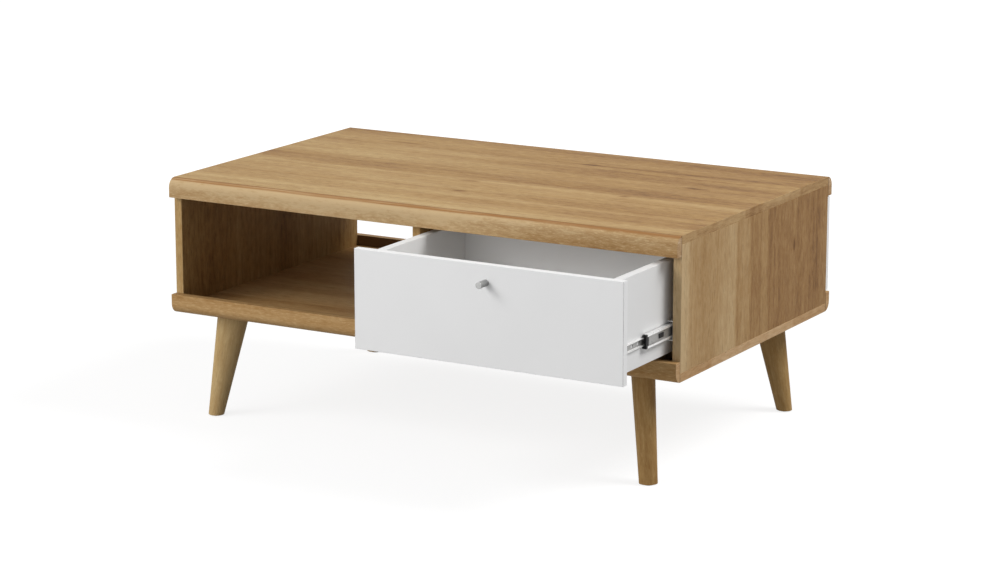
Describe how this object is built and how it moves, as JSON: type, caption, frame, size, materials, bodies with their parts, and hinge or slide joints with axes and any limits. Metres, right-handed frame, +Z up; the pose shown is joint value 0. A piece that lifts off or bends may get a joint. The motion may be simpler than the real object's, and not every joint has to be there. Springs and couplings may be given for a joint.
{
  "type": "coffee table",
  "caption": "Low rectangular coffee table on splayed tapered legs, with an open bay on one side and a white drawer on ball-bearing slides on the other.",
  "frame": {"origin": "on the floor, under the middle of the carcass", "axes": "+X to the right along the table's length, +Y to the back, +Z up; the drawer opens along -Y"},
  "size_m": [1.07, 0.866, 0.46],
  "materials": {
    "oak_board": "honey oak wood-grain laminate, satin",
    "oak_lip": "honey oak wood-grain laminate, satin",
    "oak_leg": "solid wood, satin lacquer",
    "white_face": "white board, satin",
    "white_box": "white laminate, satin",
    "white_thin_board": "white thin fibre board, matt",
    "knob_metal": "brushed",
    "slide_steel": "bright zinc plated",
    "cage_steel": "bright zinc plated",
    "ball_steel": "polished",
    "black_plastic": "matt black",
    "beech_dowel": "fluted beech, bare",
    "zinc_fitting": "die-cast zinc, dull",
    "screw_steel": "zinc plated",
    "glide_plastic": "brown plastic"
  },
  "bodies": {
    "carcass": {"back_bottom_lip": "oak_lip", "back_panel": "white_face", "back_panel_dowels": "beech_dowel", "back_top_lip": "oak_lip", "bottom_panel": "oak_board", "bottom_panel_screws": "screw_steel", "carcass_dowels": "beech_dowel", "divider": "oak_board", "front_bottom_lip": "oak_lip", "front_top_lip": "oak_lip", "left_side": "oak_board", "left_slide_cabinet_member": "slide_steel", "leg_back_left": "oak_leg", "leg_back_right": "oak_leg", "leg_dowels": "beech_dowel", "leg_front_left": "oak_leg", "leg_front_right": "oak_leg", "leg_glides": "glide_plastic", "leg_hanger_bolts": "screw_steel", "leg_insert_nuts": "screw_steel", "lip_dowels": "beech_dowel", "right_side": "oak_board", "right_slide_cabinet_member": "slide_steel", "slide_cabinet_screws": "screw_steel", "top_panel": "oak_board", "top_panel_cam_bolts": "zinc_fitting", "top_panel_cams": "zinc_fitting"},
    "drawer": {"drawer_front": "white_face", "drawer_left_side": "white_box", "drawer_right_side": "white_box", "drawer_back": "white_box", "drawer_bottom": "white_thin_board", "knob": "knob_metal", "knob_screw": "screw_steel", "drawer_front_cams": "zinc_fitting", "drawer_front_cam_bolts": "zinc_fitting", "drawer_dowels": "beech_dowel", "drawer_back_screws": "screw_steel", "slide_drawer_screws": "screw_steel", "left_slide_drawer_member": "slide_steel", "right_slide_drawer_member": "slide_steel"},
    "left_slide_middle": {"left_slide_intermediate_member": "slide_steel", "left_slide_front_cap": "black_plastic", "left_slide_stop": "black_plastic"},
    "left_outer_cage": {"left_slide_outer_ball_cage": "cage_steel", "left_slide_outer_balls": "ball_steel"},
    "left_inner_cage": {"left_slide_inner_ball_cage": "cage_steel", "left_slide_inner_balls": "ball_steel"},
    "right_slide_middle": {"right_slide_intermediate_member": "slide_steel", "right_slide_front_cap": "black_plastic", "right_slide_stop": "black_plastic"},
    "right_outer_cage": {"right_slide_outer_ball_cage": "cage_steel", "right_slide_outer_balls": "ball_steel"},
    "right_inner_cage": {"right_slide_inner_ball_cage": "cage_steel", "right_slide_inner_balls": "ball_steel"}
  },
  "joints": [
    {"name": "drawer_slide", "type": "slide", "parent": "carcass", "child": "drawer", "axis": [0, -1, 0], "range_m": [-0.194, 0.096]},
    {"name": "left_slide_middle_travel", "type": "slide", "parent": "carcass", "child": "left_slide_middle", "axis": [0, -1, 0], "range_m": [-0.097, 0.048]},
    {"name": "left_outer_cage_travel", "type": "slide", "parent": "carcass", "child": "left_outer_cage", "axis": [0, -1, 0], "range_m": [-0.0485, 0.024]},
    {"name": "left_inner_cage_travel", "type": "slide", "parent": "carcass", "child": "left_inner_cage", "axis": [0, -1, 0], "range_m": [-0.1455, 0.072]},
    {"name": "right_slide_middle_travel", "type": "slide", "parent": "carcass", "child": "right_slide_middle", "axis": [0, -1, 0], "range_m": [-0.097, 0.048]},
    {"name": "right_outer_cage_travel", "type": "slide", "parent": "carcass", "child": "right_outer_cage", "axis": [0, -1, 0], "range_m": [-0.0485, 0.024]},
    {"name": "right_inner_cage_travel", "type": "slide", "parent": "carcass", "child": "right_inner_cage", "axis": [0, -1, 0], "range_m": [-0.1455, 0.072]}
  ],
  "couplings": [
    {"joint": "left_slide_middle_travel", "follows": "drawer_slide", "ratio": 0.5},
    {"joint": "left_outer_cage_travel", "follows": "drawer_slide", "ratio": 0.25},
    {"joint": "left_inner_cage_travel", "follows": "drawer_slide", "ratio": 0.75},
    {"joint": "right_slide_middle_travel", "follows": "drawer_slide", "ratio": 0.5},
    {"joint": "right_outer_cage_travel", "follows": "drawer_slide", "ratio": 0.25},
    {"joint": "right_inner_cage_travel", "follows": "drawer_slide", "ratio": 0.75}
  ]
}
